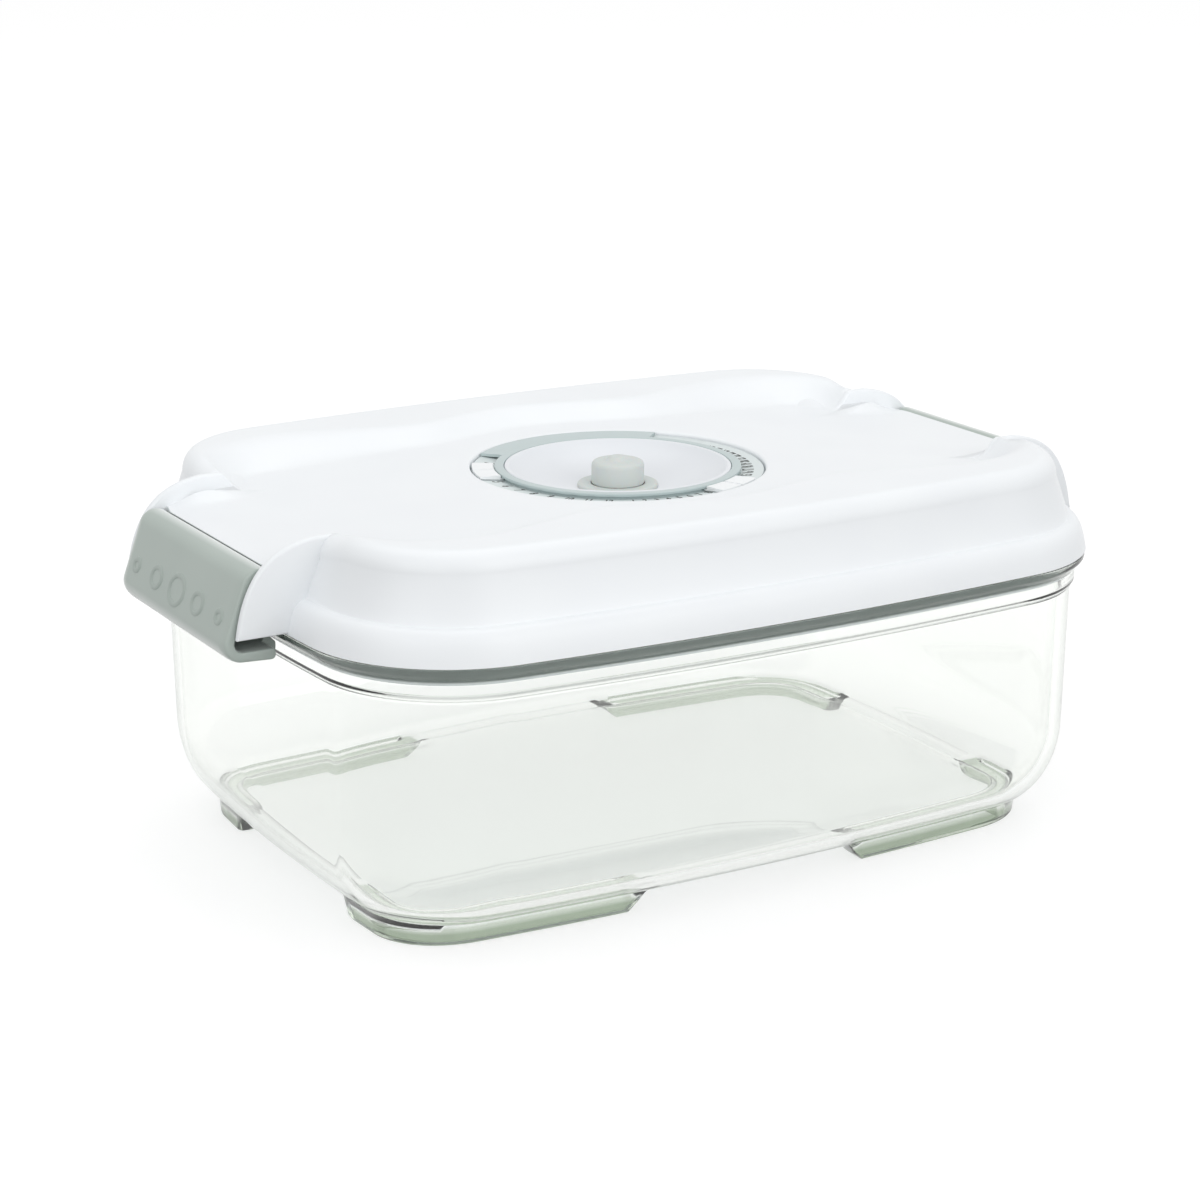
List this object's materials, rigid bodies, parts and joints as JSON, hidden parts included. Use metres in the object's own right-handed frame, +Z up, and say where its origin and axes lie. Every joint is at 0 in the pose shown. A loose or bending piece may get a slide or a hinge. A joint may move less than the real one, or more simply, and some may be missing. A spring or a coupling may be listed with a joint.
{
  "type": "food storage container",
  "caption": "Rectangular clear glass vacuum food box with rounded corners, white lid, side clip latches, sliding date dial and a soft air valve in a round dish.",
  "frame": {"origin": "Centre of the footprint, on the plane that the four corner feet stand on.", "axes": "+X runs along the long side, from the left latch to the right latch. +Y runs to the back, where the dial's wide shield is. +Z is up."},
  "size_m": [0.2368, 0.1614, 0.0942],
  "materials": {
    "clear_glass": "clear, faint green in the thick edges",
    "lid_white": "glossy",
    "liner_white": "glossy",
    "latch_grey": "satin",
    "seal_grey": "matt silicone",
    "pin_steel": "ground",
    "scale_white": "printed",
    "dial_grey": "satin",
    "pointer_white": "glossy",
    "valve_silicone": "soft silicone"
  },
  "bodies": {
    "bowl": {"bowl": "clear_glass"},
    "lid": {"lid_cover": "lid_white", "lid_liner": "liner_white", "lid_seal": "seal_grey", "left_hinge_pin": "pin_steel", "right_hinge_pin": "pin_steel", "number_ring": "scale_white", "dial_frame": "dial_grey", "valve_seat": "valve_silicone"},
    "left_latch": {"left_latch": "latch_grey"},
    "right_latch": {"right_latch": "latch_grey"},
    "month_pointer": {"month_pointer": "pointer_white"},
    "day_pointer": {"day_pointer": "pointer_white"},
    "valve_button": {"valve_button": "valve_silicone", "valve_retainer": "liner_white"}
  },
  "joints": [
    {"name": "lid_lift", "type": "slide", "parent": "bowl", "child": "lid", "axis": [0, 0, 1], "range_m": [0, 0.028]},
    {"name": "left_latch_hinge", "type": "hinge", "parent": "lid", "child": "left_latch", "pos_m": [-0.1095, 0, 0.0818], "axis": [0, 1, 0], "range_deg": [0, 95]},
    {"name": "right_latch_hinge", "type": "hinge", "parent": "lid", "child": "right_latch", "pos_m": [0.1095, 0, 0.0818], "axis": [0, -1, 0], "range_deg": [0, 95]},
    {"name": "month_pointer_slide", "type": "hinge", "parent": "lid", "child": "month_pointer", "pos_m": [0, 0, 0.0895], "axis": [0, 0, 1], "range_deg": [-14, 70]},
    {"name": "day_pointer_slide", "type": "hinge", "parent": "lid", "child": "day_pointer", "pos_m": [0, 0, 0.0895], "axis": [0, 0, 1], "range_deg": [-35, 95]},
    {"name": "valve_press", "type": "slide", "parent": "lid", "child": "valve_button", "axis": [0, 0, -1], "range_m": [0, 0.0015], "stiffness_N_per_m": 400}
  ],
  "couplings": [
    {"joint": "left_latch_hinge", "follows": "lid_lift", "rad_per_m": 59.2},
    {"joint": "right_latch_hinge", "follows": "lid_lift", "rad_per_m": 59.2}
  ]
}
